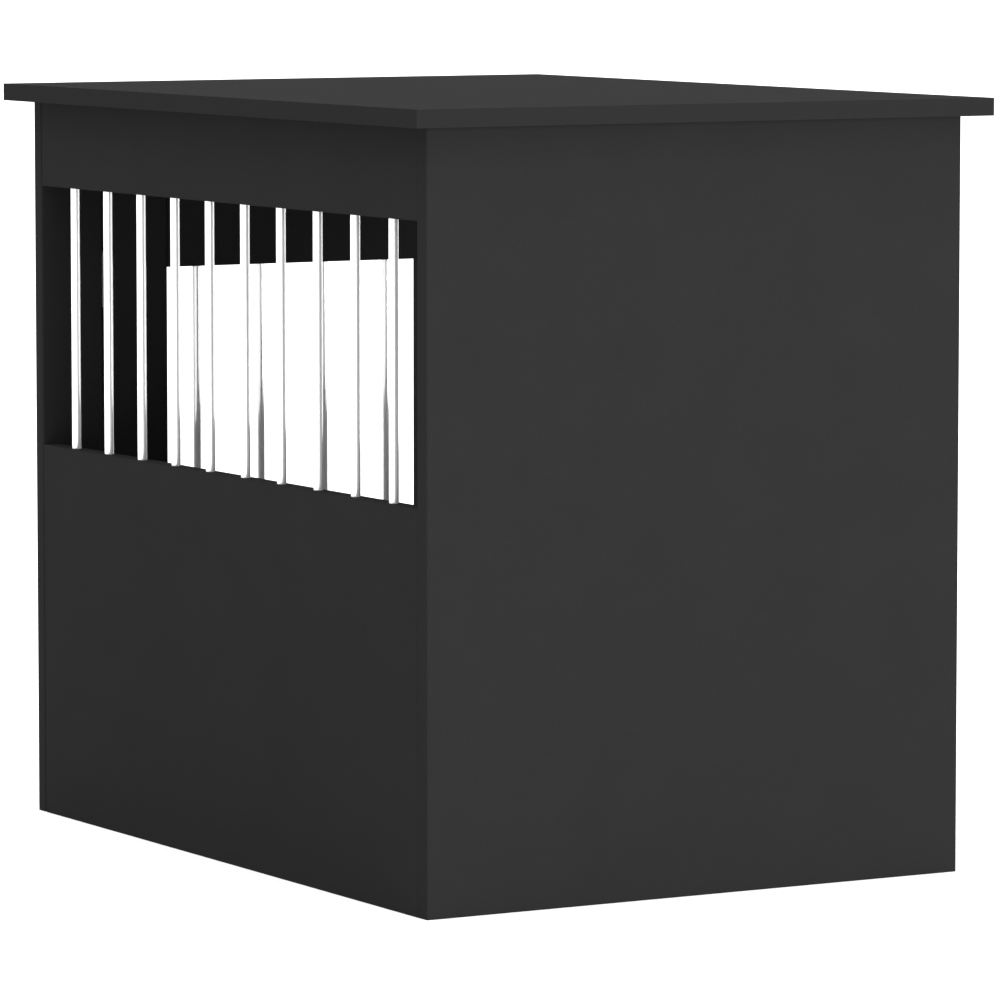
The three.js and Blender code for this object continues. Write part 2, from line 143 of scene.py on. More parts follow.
def linear(colour):
    """A hex sRGB colour as linear red, green, blue and alpha, by the sRGB curve."""
    parts = np.array([int(colour[i : i + 2], 16) for i in (1, 3, 5)]) / 255
    curve = np.where(parts <= 0.04045, parts / 12.92, ((parts + 0.055) / 1.055) ** 2.4)
    return (*curve, 1.0)


def add_node(material, kind, inputs=None, **settings):
    """Adds a node. Settings are its own; inputs holds a value or a socket for each input."""
    node = material.node_tree.nodes.new(kind)
    for name, value in settings.items():
        setattr(node, name, value)
    for name, value in (inputs or {}).items():
        if isinstance(value, bpy.types.NodeSocket):
            material.node_tree.links.new(value, node.inputs[name])
        else:
            node.inputs[name].default_value = value
    return node


def new_material(name, inputs=None):
    """A node material with its shader wired to the output. Inputs are the shader's constants."""
    material = bpy.data.materials.new(name)
    material.use_nodes = True
    material.node_tree.nodes.clear()
    shader = add_node(material, "ShaderNodeBsdfPrincipled", inputs)
    add_node(material, "ShaderNodeOutputMaterial", {"Surface": shader.outputs[0]})
    return material, shader


def wire(material, shader, **sockets):
    """Links sockets to the shader's inputs. Underscores stand for the spaces in their names."""
    for name, socket in sockets.items():
        material.node_tree.links.new(socket, shader.inputs[name.replace("_", " ")])


print("mid grey in linear light:", round(linear("#808080")[0], 3))

# %% Colour and gloss from patterns
NOISE_LOW, NOISE_HIGH = 0.3, 0.7


def patterned(material, shader, shade, colours, grain, roughness):
    """Lets two patterns finish a surface. The shade carries its colour from the first of two
    to the second, and the grain its roughness, over the range that a noise mostly keeps to."""
    deep, pale = map(linear, colours)
    smooth, rough = roughness
    colour = add_node(material, "ShaderNodeMix", {0: shade, 6: deep, 7: pale}, data_type="RGBA")
    gloss = add_node(
        material,
        "ShaderNodeMapRange",
        {"Value": grain, 1: NOISE_LOW, 2: NOISE_HIGH, 3: smooth, 4: rough},
    )
    wire(material, shader, Base_Color=colour.outputs[2], Roughness=gloss.outputs[0])


print("a noise mostly lies between", NOISE_LOW, "and", NOISE_HIGH)

# %% [markdown]
# ## Skins
# Almost every piece here is a skin over a row of rings: a board is its outline carried from
# the middle of one face round the edge to the other face, and a rod is a circle carried
# along its length. So one function joins a row of rings with four-sided faces and closes
# both ends, and another puts the result into a mesh with its doubles merged and its faces
# turned outwards. Edges that bend sharply are marked, because a smooth shade across them
# would look like soft rubber.

# %% From rings to faces


def skin(rings, first=0):
    """Faces over rings of points, shape (rings, points, 3): each ring is joined to the next
    point by point, and the first and last ring are closed. Point numbers start at first."""
    count, around = rings.shape[:2]
    start = first + np.arange(count - 1)[:, None] * around
    here = np.arange(around)
    after = (here + 1) % around
    quads = np.stack([start + here, start + after, start + around + after, start + around + here], -1)
    ends = [list(range(first, first + around))[::-1]]
    ends.append(list(range(first + (count - 1) * around, first + count * around)))
    return quads.reshape(-1, 4).tolist() + ends


print("faces of a four-sided bar:", len(skin(np.zeros((2, 4, 3)))))

# %% From faces to a finished mesh
MERGE_MM = 0.0005
SHARP_ANGLE = 32


def tidy(mesh):
    """Merges doubles, turns faces outwards, and marks every edge sharp that bends over an angle."""
    work = bmesh.new()
    work.from_mesh(mesh)
    bmesh.ops.remove_doubles(work, verts=work.verts, dist=MERGE_MM * MM)
    bmesh.ops.dissolve_degenerate(work, edges=work.edges, dist=MERGE_MM * MM)
    bmesh.ops.recalc_face_normals(work, faces=work.faces)
    for face in work.faces:
        face.smooth = True
    for edge in work.edges:
        edge.smooth = edge.calc_face_angle(0) < math.radians(SHARP_ANGLE)
    work.to_mesh(mesh)
    work.free()


def skinned(name, shells, materials, face_materials=None):
    """An object of one or more skins, in millimetres. face_materials gives each face's material."""
    points = np.concatenate([rings.reshape(-1, 3) for rings in shells])
    firsts = np.cumsum([0] + [rings.shape[0] * rings.shape[1] for rings in shells])
    faces = [face for rings, first in zip(shells, firsts) for face in skin(rings, int(first))]
    mesh = bpy.data.meshes.new(name)
    mesh.from_pydata(points * MM, [], faces)
    for material in materials:
        mesh.materials.append(material)
    if face_materials is not None:
        mesh.polygons.foreach_set("material_index", np.asarray(face_materials, np.int32))
    tidy(mesh)
    piece = bpy.data.objects.new(name, mesh)
    bpy.context.scene.collection.objects.link(piece)
    return piece


print("points closer than", MERGE_MM, "mm are merged, bends over", SHARP_ANGLE, "degrees stay sharp")

# %% Rings about a line
ROUND_SIDES = 48
PROFILE_STEPS = 5


def about_line(angle, reach, distance, start, direction):
    """Rings about a line along an axis: at each angle a point stands its reach away from the
    line, and the ring lies its distance along the line. Shape (rings, angles, 3)."""
    ahead = np.array(direction, float)
    side = np.roll(ahead, 1)
    across = np.cross(ahead, side)
    circle = np.cos(angle)[:, None] * side + np.sin(angle)[:, None] * across
    return np.array(start) + reach[..., None] * circle + distance[:, None, None] * ahead


def turned(profile, start, direction):
    """Rings of a turned piece: each (radius, distance) pair is a circle about the line."""
    angle = np.linspace(0, 2 * np.pi, ROUND_SIDES, endpoint=False)
    radius, distance = np.array(profile, float).T
    return about_line(angle, radius[:, None] + 0 * angle, distance, start, direction)


def arc(centre, radius, first, last):
    """Points of an arc in a profile: centre plus radius times (cos a, sin a), a in degrees."""
    angle = np.radians(np.linspace(first, last, PROFILE_STEPS + 1))
    return list(zip(centre[0] + radius * np.cos(angle), centre[1] + radius * np.sin(angle)))


print("a round piece has", ROUND_SIDES, "sides")

# %% [markdown]
# ## Floor and light
# The table stands in a plain white studio: a pale floor that runs out past the horizon, an
# even white surround, a wide soft lamp overhead and one large soft panel on the side that
# the back panel faces. The lamps could be many, but two are enough: the one overhead makes
# the top the lightest face and leaves a soft shade under its overhang, and the panel lifts
# the back above the sides.

# %% The pale floor
FLOOR_RADIUS = 60_000
FLOOR_THICKNESS = 100
FLOOR_SIDES = 96
FLOOR_RINGS = 24
FLOOR_RING_POWER = 3
FLOOR_COLOUR = "#e7e7e7"
FLOOR_ROUGHNESS = 0.9

floor_paint, _ = new_material(
    "matt_floor_paint",
    {"Base Color": linear(FLOOR_COLOUR), "Roughness": FLOOR_ROUGHNESS, "Specular IOR Level": 0.0},
)
# The rings lie closer together near the table: each radius is a power of its share.
share = np.linspace(0, 1, FLOOR_RINGS + 1)[1:] ** FLOOR_RING_POWER
ring = np.append(share, 1) * FLOOR_RADIUS
turn = np.linspace(0, 2 * np.pi, FLOOR_SIDES, endpoint=False)
floor_points = np.zeros((len(ring), FLOOR_SIDES, 3))
floor_points[..., X] = np.outer(ring, np.cos(turn))
floor_points[..., Y] = np.outer(ring, np.sin(turn))
floor_points[-1, :, Z] = -FLOOR_THICKNESS
floor = skinned("floor", [floor_points], [floor_paint])
print("floor reaches", FLOOR_RADIUS * MM, "m")

# %% Surround and lamps
SURROUND_COLOUR = "#ffffff"
SURROUND_STRENGTH = 1.0
OVERHEAD_STRENGTH = 4.7
OVERHEAD_SPREAD = 90
PANEL_PLACE_M = (-1.7, 5.25, 0.8)
PANEL_SIZE_M = (2.4, 1.6)
PANEL_POWER = 224

world = bpy.data.worlds.new("white_studio")
world.use_nodes = True
background = world.node_tree.nodes["Background"]
background.inputs["Color"].default_value = linear(SURROUND_COLOUR)
background.inputs["Strength"].default_value = SURROUND_STRENGTH
bpy.context.scene.world = world

overhead_data = bpy.data.lights.new("overhead_lamp", "SUN")
overhead_data.energy = OVERHEAD_STRENGTH
overhead_data.angle = math.radians(OVERHEAD_SPREAD)
overhead = bpy.data.objects.new("overhead_lamp", overhead_data)
bpy.context.scene.collection.objects.link(overhead)

panel_data = bpy.data.lights.new("soft_panel", "AREA")
panel_data.shape = "RECTANGLE"
panel_data.size, panel_data.size_y = PANEL_SIZE_M
panel_data.energy = PANEL_POWER
panel = bpy.data.objects.new("soft_panel", panel_data)
panel.location = PANEL_PLACE_M
panel.rotation_euler = (math.radians(90), 0, math.atan2(PANEL_PLACE_M[X], -PANEL_PLACE_M[Y]))
panel.visible_camera = False
bpy.context.scene.collection.objects.link(panel)

# %% [markdown]
# ## Black melamine
# The boards are chipboard faced with resin-soaked paper, pressed hot against a textured
# plate. That gives a hard, even, deep grey-black with a fine pearl grain and hardly any
# shine. A smooth dark plastic would mirror the white room at a low angle. The grain breaks
# that up, so the shader is rough and its specular level is close to none.

# %% Melamine
PEARL_GRAIN_MM = 1.2
PEARL_DEPTH_MM = 0.03
PEARL_STRENGTH = 0.5
PEARL_DETAIL = 2.0
CLOUD_MM = 60
CLOUD_SHARE = 0.25
CLOUD_DETAIL = 3.0
MELAMINE_COLOURS = ("#1f1f1f", "#242424")
MELAMINE_ROUGHNESS = (0.8, 0.9)
MELAMINE_SPECULAR = 0.005


def melamine():
    """Melamine-faced board, pressed: dark, matt, with a fine pearl grain that is drawn about
    three times as coarse as the real one, so that it shows in a close view. A cloud, a
    quarter as strong, keeps a wide board from being the same all over."""
    material, shader = new_material(
        "black_melamine_pearl", {"Specular IOR Level": MELAMINE_SPECULAR}
    )
    place = add_node(material, "ShaderNodeTexCoord").outputs["Object"]
    grain = add_node(
        material,
        "ShaderNodeTexNoise",
        {"Vector": place, "Scale": 1 / (PEARL_GRAIN_MM * MM), "Detail": PEARL_DETAIL},
    ).outputs["Fac"]
    cloud = add_node(
        material,
        "ShaderNodeTexNoise",
        {"Vector": place, "Scale": 1 / (CLOUD_MM * MM), "Detail": CLOUD_DETAIL},
    ).outputs["Fac"]
    both = add_node(
        material, "ShaderNodeMath", {0: cloud, 1: CLOUD_SHARE, 2: grain}, operation="MULTIPLY_ADD"
    ).outputs[0]
    whole = 1 + CLOUD_SHARE
    shade = add_node(
        material, "ShaderNodeMapRange", {"Value": both, 1: whole * NOISE_LOW, 2: whole * NOISE_HIGH}
    ).outputs[0]
    patterned(material, shader, shade, MELAMINE_COLOURS, grain, MELAMINE_ROUGHNESS)
    bump = add_node(
        material,
        "ShaderNodeBump",
        {"Height": grain, "Strength": PEARL_STRENGTH, "Distance": PEARL_DEPTH_MM * MM},
    )
    wire(material, shader, Normal=bump.outputs[0])
    return material


MELAMINE = melamine()
print("material:", MELAMINE.name)

# %% [markdown]
# ## Edge band and chipboard
# The edges are covered with a tape of black ABS plastic. It is extruded, trimmed flush and
# buffed, so it is a little smoother than the melamine, and its gloss is slightly uneven. Lines
# along the tape could be drawn as well, but they are too fine to show, so a soft mottle does.
# Under the tape and the facing lies pale chipboard, which shows only on the walls of the
# drilled holes, as glued flakes of many browns.

# %% Edge band
TAPE_COLOURS = ("#1e1e1e", "#212121")
TAPE_ROUGHNESS = (0.7, 0.8)
TAPE_SPECULAR = 0.01
TAPE_MOTTLE_MM = 9
TAPE_DETAIL = 4.0


def edge_band():
    """ABS edge band, extruded and buffed: dark and smoother than the melamine, with a soft
    mottle in its colour and gloss."""
    material, shader = new_material("black_abs_edge_band", {"Specular IOR Level": TAPE_SPECULAR})
    place = add_node(material, "ShaderNodeTexCoord").outputs["Object"]
    mottle = add_node(
        material,
        "ShaderNodeTexNoise",
        {"Vector": place, "Scale": 1 / (TAPE_MOTTLE_MM * MM), "Detail": TAPE_DETAIL},
    ).outputs["Fac"]
    patterned(material, shader, mottle, TAPE_COLOURS, mottle, TAPE_ROUGHNESS)
    return material


EDGE_BAND = edge_band()
print("material:", EDGE_BAND.name)

# %% Chipboard
FLAKE_MM = 1.8
FLAKE_COLOURS = ("#6e5437", "#b3946a")
FLAKE_ROUGHNESS = 0.95
FLAKE_DEPTH_MM = 0.15


def chipboard():
    """Raw chipboard, drilled: flakes of different browns as rough cells of about 2 mm."""
    material, shader = new_material(
        "raw_chipboard", {"Roughness": FLAKE_ROUGHNESS, "Specular IOR Level": 0.0}
    )
    place = add_node(material, "ShaderNodeTexCoord").outputs["Object"]
    flakes = add_node(
        material, "ShaderNodeTexVoronoi", {"Vector": place, "Scale": 1 / (FLAKE_MM * MM)}
    )
    shade = add_node(material, "ShaderNodeSeparateColor", {"Color": flakes.outputs["Color"]})
    deep, pale = linear(FLAKE_COLOURS[0]), linear(FLAKE_COLOURS[1])
    colour = add_node(
        material, "ShaderNodeMix", {0: shade.outputs[0], 6: deep, 7: pale}, data_type="RGBA"
    )
    bump = add_node(
        material,
        "ShaderNodeBump",
        {"Height": flakes.outputs["Distance"], "Distance": FLAKE_DEPTH_MM * MM},
    )
    wire(material, shader, Base_Color=colour.outputs[2], Normal=bump.outputs[0])
    return material


CHIPBOARD = chipboard()
print("material:", CHIPBOARD.name)

# %% [markdown]
# ## Joining and cutting
# A drilled hole is the place where a drill took material away, and a strap riveted to a plate
# is two pieces made one. The mesh tool for both is a boolean: it cuts one closed skin by
# another, or joins them, and keeps the edges crisp where they meet. It is used up at once, so
# that no piece depends on a hidden tool.

# %% Work a piece with closed shells


def worked(piece, operation, shells, material):
    """Joins (UNION) or cuts (DIFFERENCE) a piece with closed shells, whose material shows
    where the shells leave their own faces."""
    tool = skinned("tool", shells, [material])
    change = piece.modifiers.new("work", "BOOLEAN")
    change.operation = operation
    change.solver = "EXACT"
    change.material_mode = "TRANSFER"
    change.object = tool
    seen = piece.evaluated_get(bpy.context.evaluated_depsgraph_get())
    before, piece.data = piece.data, bpy.data.meshes.new_from_object(seen)
    piece.modifiers.clear()
    bpy.data.meshes.remove(before)
    piece.data.name = piece.name
    bpy.data.objects.remove(tool)
    tidy(piece.data)
    return piece


print("a piece can be worked by:", "UNION", "DIFFERENCE")

# %% [markdown]
# ## Boards
# Each board is a slab with plastic tape glued round its edges and trimmed flush. Three
# things show up close: the arris, which is eased by a scraper, the hairline where the tape
# meets the face, and the corner where two tapes meet. A bevelled cube would give the first
# alone. Here a section through the edge is carried round the board's outline, so that all
# three come from one formula. The tape of the front frame and the door is the thicker kind,
# rounded over its whole two millimetres, which makes their joints show as lines.

# %% The outline of a board
CORNER_STEPS = 4
CORNER_RADIUS = 0.5


def rounded_rectangle(insets, length, width, radius):
    """A rectangle with round corners, drawn in by each inset. A corner is an arc whose radius
    is what the inset leaves of the corner radius, about a centre that stays that far from
    both sides. Shape (insets, points, 2)."""
    quarter = np.arange(4)[:, None]
    angle = (quarter + np.linspace(0, 1, CORNER_STEPS + 1)) * np.pi / 2
    sign_u = np.where(np.isin(quarter, (0, 3)), 1, -1) + 0 * angle
    sign_v = np.where(quarter < 2, 1, -1) + 0 * angle
    left = np.maximum(radius - insets, 0)[:, None, None]
    inset = insets[:, None, None]
    u = sign_u * (length / 2 - inset - left) + left * np.cos(angle)
    v = sign_v * (width / 2 - inset - left) + left * np.sin(angle)
    return np.stack([u, v], -1).reshape(len(insets), -1, 2)


print("points round a board:", 4 * (CORNER_STEPS + 1))

# %% The section of its edge
PANEL_ARRIS = 0.3
FRAME_ARRIS = 2.0
TAPE = 1.0
HAIRLINE = 0.07
HAIRLINE_DEPTH = 0.06
ARRIS_STEPS = 5
SUPPORT = 0.4
FACE_RINGS = 2


def edge_section(thickness, arris):
    """Insets and heights of the section, from inside one face round the edge to the other:
    flat face, hairline groove, flat tape, a quarter circle, and the straight edge. Tape is at
    least as thick as its arris, so the hairline lies beside the quarter circle."""
    half = thickness / 2
    bend = np.linspace(0, np.pi / 2, ARRIS_STEPS + 1)
    line = max(TAPE, arris) + HAIRLINE
    insets = [line + SUPPORT, line + HAIRLINE, line, line - HAIRLINE, *(arris * (1 - np.sin(bend)))]
    heights = [half, half, half - HAIRLINE_DEPTH, half, *(half - arris * (1 - np.cos(bend)))]
    insets.append(0)
    heights.append(half - arris - SUPPORT)
    inset = np.array(insets)
    height = np.array(heights)
    return np.concatenate([inset, inset[::-1]]), np.concatenate([height, -height[::-1]])


print("arrises of the panels and the frame:", PANEL_ARRIS, "and", FRAME_ARRIS, "mm")

# %% Holes for the rods
HOLE_GAP = 0.3
DRILL_PAST = 1.0
UP = (0, 0, 1)


def rod_holes(low, high):
    """Shells of the blind holes in a board: one round each rod end that lies inside it, a gap
    wider and a gap deeper than the rod."""
    shells = []
    for rod_node in nodes_of("rod"):
        rod_low, rod_high = corners(rod_node)
        middle = (rod_low + rod_high) / 2
        radius = (rod_high[X] - rod_low[X]) / 2 + HOLE_GAP
        over = np.all(low[:Z] < middle[:Z]) and np.all(middle[:Z] < high[:Z])
        if over and low[Z] < rod_high[Z] < high[Z]:
            span = (low[Z] - DRILL_PAST, rod_high[Z] + HOLE_GAP)
        elif over and low[Z] < rod_low[Z] < high[Z]:
            span = (rod_low[Z] - HOLE_GAP, high[Z] + DRILL_PAST)
        else:
            continue
        profile = [(0, span[0]), (radius, span[0]), (radius, span[1]), (0, span[1])]
        shells.append(turned(profile, (middle[X], middle[Y], 0), UP))
    return shells


print("holes in a side rail:", len(rod_holes(*corners("right_side_rail"))))

# %% Build the boards
JOINT_GAP = 1.2


def board(node, arris):
    """A board over a node's box. Its thickness is the shortest side of the box. Faces outside
    the hairlines are tape, and the others are melamine. A side board stops a joint gap short
    of the front frame, which shows as a thin dark line down the side."""
    low, high = corners(node)
    if node.startswith(("left_side", "right_side")):
        low[Y] += JOINT_GAP
    size = high - low
    thin = int(np.argmin(size))
    long, wide = (thin + 1) % 3, (thin + 2) % 3
    insets, heights = edge_section(size[thin], arris)
    outline = rounded_rectangle(insets, size[long], size[wide], CORNER_RADIUS)
    rings = np.empty(outline.shape[:2] + (3,))
    rings[..., long] = outline[..., 0]
    rings[..., wide] = outline[..., 1]
    rings[..., thin] = heights[:, None]
    rings += (low + high) / 2
    strips = np.ones((len(insets) - 1, outline.shape[1]), int)
    strips[:FACE_RINGS] = 0
    strips[-FACE_RINGS:] = 0
    piece = skinned(
        f"{node}_board", [rings], [MELAMINE, EDGE_BAND], np.append(strips.ravel(), [0, 0])
    )
    holes = rod_holes(low, high)
    return worked(piece, "DIFFERENCE", holes, CHIPBOARD) if holes else piece


BOARDS = {}
for node in nodes_of("board"):
    in_frame = node.startswith(("front_", "door_"))
    BOARDS[node] = stands_for(board(node, FRAME_ARRIS if in_frame else PANEL_ARRIS), node)
print("boards made:", len(BOARDS))

# %% [markdown]
# ## Chromed rods
# The rods are drawn steel, polished and chrome plated. A polished cylinder mirrors the whole
# room across its few millimetres of width: white where it sees the studio, dark where it
# sees the boards. A full metal would show those dark lines nearly black, but on the real
# rods they are mid grey, so the shader mixes a bright scatter with the mirror. Thin plating
# over a drawn bar also keeps a faint haze along the drawing direction.

# %% Chrome
CHROME_COLOUR = "#f4f5f6"
CHROME_METALLIC = 0.4
CHROME_ROUGHNESS = (0.08, 0.12)
DRAWN_LINE_MM = 0.3
DRAWN_LENGTH_MM = 30
DRAWN_DETAIL = 2.0


def chrome():
    """Bright chrome plate on drawn steel: a cool near-white mirror, softened by a scatter and
    a slight haze. The metallic value is what the scatter leaves of the mirror. The drawing
    lines are about twice as wide as real ones, so that they show up close."""
    material, shader = new_material(
        "bright_chrome_plate", {"Base Color": linear(CHROME_COLOUR), "Metallic": CHROME_METALLIC}
    )
    place = add_node(material, "ShaderNodeTexCoord").outputs["Object"]
    across, along = 1 / (DRAWN_LINE_MM * MM), 1 / (DRAWN_LENGTH_MM * MM)
    drawn = add_node(material, "ShaderNodeMapping", {"Vector": place, "Scale": (across, across, along)})
    lines = add_node(
        material,
        "ShaderNodeTexNoise",
        {"Vector": drawn.outputs[0], "Scale": 1.0, "Detail": DRAWN_DETAIL},
    ).outputs["Fac"]
    smooth, rough = CHROME_ROUGHNESS
    haze = add_node(
        material,
        "ShaderNodeMapRange",
        {"Value": lines, 1: NOISE_LOW, 2: NOISE_HIGH, 3: smooth, 4: rough},
    )
    wire(material, shader, Roughness=haze.outputs[0])
    return material


CHROME = chrome()
print("material:", CHROME.name)

# %% The rods
ROD_EDGE = 0.5


def rod(node):
    """A rod over a node's box: a cylinder with rounded ends."""
    low, high = corners(node)
    middle = (low + high) / 2
    radius = (high[X] - low[X]) / 2
    profile = [(0, low[Z]), *arc((radius - ROD_EDGE, low[Z] + ROD_EDGE), ROD_EDGE, -90, 0)]
    profile += [*arc((radius - ROD_EDGE, high[Z] - ROD_EDGE), ROD_EDGE, 0, 90), (0, high[Z])]
    return skinned(f"{node}_bar", [turned(profile, (middle[X], middle[Y], 0), UP)], [CHROME])


RODS = [stands_for(rod(node), node) for node in nodes_of("rod")]
print("rods made:", len(RODS))

# %% [markdown]
# ## Nickel and zinc
# Hinges and latch are stamped from strip steel and nickel plated. The strip is brushed before
# plating, so its gloss is drawn out into short lines. A stretched highlight could stand for
# them, but a noise that is stretched along the strip shows up close as well. Screws are cold
# headed and zinc plated: greyer and cooler than nickel, and slightly cloudy.

# %% Nickel
NICKEL_COLOURS = ("#8f8c86", "#a4a19b")
NICKEL_ROUGHNESS = (0.24, 0.42)
BRUSH_LINE_MM = 0.12
BRUSH_LENGTH_MM = 6
BRUSH_DEPTH_MM = 0.004
BRUSH_DETAIL = 3.0


def brushed_nickel(name, along):
    """Nickel plate on brushed strip, with its lines along an axis: a warm grey metal whose
    roughness and height change quickly across the lines and slowly along them."""
    material, shader = new_material(name, {"Metallic": 1.0})
    place = add_node(material, "ShaderNodeTexCoord").outputs["Object"]
    stretch = [1 / (BRUSH_LINE_MM * MM)] * 3
    stretch[along] = 1 / (BRUSH_LENGTH_MM * MM)
    drawn = add_node(material, "ShaderNodeMapping", {"Vector": place, "Scale": stretch})
    lines = add_node(
        material,
        "ShaderNodeTexNoise",
        {"Vector": drawn.outputs[0], "Scale": 1.0, "Detail": BRUSH_DETAIL},
    ).outputs["Fac"]
    patterned(material, shader, lines, NICKEL_COLOURS, lines, NICKEL_ROUGHNESS)
    bump = add_node(material, "ShaderNodeBump", {"Height": lines, "Distance": BRUSH_DEPTH_MM * MM})
    wire(material, shader, Normal=bump.outputs[0])
    return material


UPRIGHT_NICKEL = brushed_nickel("satin_nickel_brushed_upright", Z)
LEVEL_NICKEL = brushed_nickel("satin_nickel_brushed_level", X)
print("materials:", UPRIGHT_NICKEL.name, LEVEL_NICKEL.name)

# %% Zinc
ZINC_COLOURS = ("#7e8287", "#a0a5aa")
ZINC_ROUGHNESS = (0.3, 0.5)
SPANGLE_MM = 0.8
SPANGLE_DETAIL = 3.0


def zinc():
    """Zinc plate on cold-headed steel: a cool grey metal, cloudy at less than a millimetre."""
    material, shader = new_material("bright_zinc_plate", {"Metallic": 1.0})
    place = add_node(material, "ShaderNodeTexCoord").outputs["Object"]
    cloud = add_node(
        material,
        "ShaderNodeTexNoise",
        {"Vector": place, "Scale": 1 / (SPANGLE_MM * MM), "Detail": SPANGLE_DETAIL},
    ).outputs["Fac"]
    patterned(material, shader, cloud, ZINC_COLOURS, cloud, ZINC_ROUGHNESS)
    return material


ZINC = zinc()
print("material:", ZINC.name)

# %% [markdown]
# ## Stamped shapes
# A stamped blank is a flat outline with round corners, and its edges are tumbled smooth. So a
# leaf, a plate or a strap is an outline carried along the third axis, drawn in a little at
# both ends. Beveling a solid would do the same, but here the formula keeps every size.

# %% Outlines with round corners
ARC_STEPS = 6
SAME_POINT = 1e-6


def unit(vectors):
    """Vectors divided by their lengths."""
    return vectors / np.linalg.norm(vectors, axis=-1, keepdims=True)


def rounded_polygon(points, radii):
    """Each corner becomes an arc of its radius r. With half the angle at the corner as h, the
    arc's centre lies r / sin h along the corner's middle line, and the arc turns evenly from
    one tangent point to the other. A corner of radius 0 stays one point."""
    corner = np.array(points, float)
    radius = np.array(radii, float)[:, None]
    to_last = unit(np.roll(corner, 1, 0) - corner)
    to_next = unit(np.roll(corner, -1, 0) - corner)
    half = np.arccos((to_last * to_next).sum(1, keepdims=True)) / 2
    middle = unit(to_last + to_next) / np.sin(half)
    first = to_last / np.tan(half) - middle
    last = to_next / np.tan(half) - middle
    bend = (np.pi - 2 * half)[..., None]
    share = np.linspace(0, 1, ARC_STEPS + 1)[:, None]
    swing = np.sin((1 - share) * bend) * first[:, None] + np.sin(share * bend) * last[:, None]
    centre = (corner + middle * radius)[:, None]
    outline = (centre + radius[..., None] * swing / np.sin(bend)).reshape(-1, 2)
    return outline[np.linalg.norm(outline - np.roll(outline, 1, 0), axis=1) > SAME_POINT]


print("points on a round corner:", ARC_STEPS + 1)

# %% An outline carried along an axis
EASE_STEPS = 4


def prism(outline, low, high, ease, axes):
    """Rings of an outline in the plane of the first two axes, carried from low to high along
    the third. Close to an end a ring is ease * (1 - sin a) inside the outline where it is
    ease * (1 - cos a) from the end. A point moves in along the mitre of its two edges."""
    after = np.roll(outline, -1, 0)
    if (outline[:, 0] * after[:, 1] - outline[:, 1] * after[:, 0]).sum() < 0:
        outline = outline[::-1]
        after = np.roll(outline, -1, 0)
    edge = unit(after - outline)
    out = np.stack([edge[:, 1], -edge[:, 0]], -1)
    both = out + np.roll(out, 1, 0)
    mitre = 2 * both / (both**2).sum(1, keepdims=True)
    bend = np.linspace(0, np.pi / 2, EASE_STEPS + 1)
    inset = ease * (1 - np.sin(bend))
    travel = ease * (1 - np.cos(bend))
    insets = np.concatenate([inset, inset[::-1]])
    distances = np.concatenate([low + travel, high - travel[::-1]])
    flat = outline - insets[:, None, None] * mitre
    rings = np.empty(flat.shape[:2] + (3,))
    rings[..., axes[0]] = flat[..., 0]
    rings[..., axes[1]] = flat[..., 1]
    rings[..., axes[2]] = distances[:, None]
    return rings


print("rings of a stamped piece:", 2 * (EASE_STEPS + 1))

# %% [markdown]
# ## Screws
# The screws are countersunk, with a cross recess for the driver. A plain cone would look
# blind from the front, so the skin starts at the floor of the recess, climbs its tapering
# walls, crosses the head and runs down the cone and the shank to the tip. The recess is the
# only part that isn't round, and its outline is a cross given by its reach at each angle.

# %% The skin of a screw
SCREW_RADIUS = 1.5
SCREW_TIP = 2.0
SCREW_HEAD_RADIUS = 2.7
RIM = 0.12
RECESS_TOP = (1.45, 0.42)
RECESS_FLOOR = (0.75, 0.3)
RECESS_DEPTH = 1.2
ARM_ANGLES = (-45, -38, -30, -17, -8, 0, 8, 17, 30, 38)


def cross(angle, reach, half_width):
    """How far a cross reaches at each angle: to its arm's end, or to the arm's side, which
    lies half_width / sin a from the middle where a is the angle from the nearest arm."""
    from_arm = np.abs((angle + np.pi / 4) % (np.pi / 2) - np.pi / 4)
    return np.minimum(reach, half_width / np.maximum(np.sin(from_arm), SAME_POINT))


def screw(name, start, direction, length, turn):
    """A countersunk screw from its head's face along a direction, with its recess turned."""
    angle = np.radians(np.add.outer(np.arange(4) * 90, ARM_ANGLES).ravel())
    round_profile = [
        (SCREW_HEAD_RADIUS - RIM, 0),
        (SCREW_HEAD_RADIUS, RIM),
        (SCREW_RADIUS, SCREW_HEAD_RADIUS - SCREW_RADIUS + RIM),
        (SCREW_RADIUS, length - SCREW_TIP),
        (0, length),
    ]
    radius, distance = np.array(round_profile, float).T
    reach = np.concatenate(
        [
            [0 * angle, cross(angle, *RECESS_FLOOR), cross(angle, *RECESS_TOP)],
            radius[:, None] + 0 * angle,
        ]
    )
    distance = np.concatenate([[RECESS_DEPTH, RECESS_DEPTH, 0], distance])
    return skinned(name, [about_line(angle + turn, reach, distance, start, direction)], [ZINC])


print("points round a screw:", 4 * len(ARM_ANGLES))

# %% Screws of the latch
SCREW_TURN_RADIANS = 0.7
INTO_BOARD = (0, 1, 0)

SCREWS = []
for number, node in enumerate(nodes_of("screw")):
    low, high = corners(node)
    start = ((low[X] + high[X]) / 2, low[Y], (low[Z] + high[Z]) / 2)
    piece = screw(f"{node}_crosshead", start, INTO_BOARD, high[Y] - low[Y], number * SCREW_TURN_RADIANS)
    SCREWS.append(stands_for(piece, node))
print("latch screws made:", len(SCREWS))

# %% Countersunk holes
SCREW_HOLE_GAP = 0.3
CUT_DEPTH = 3.0


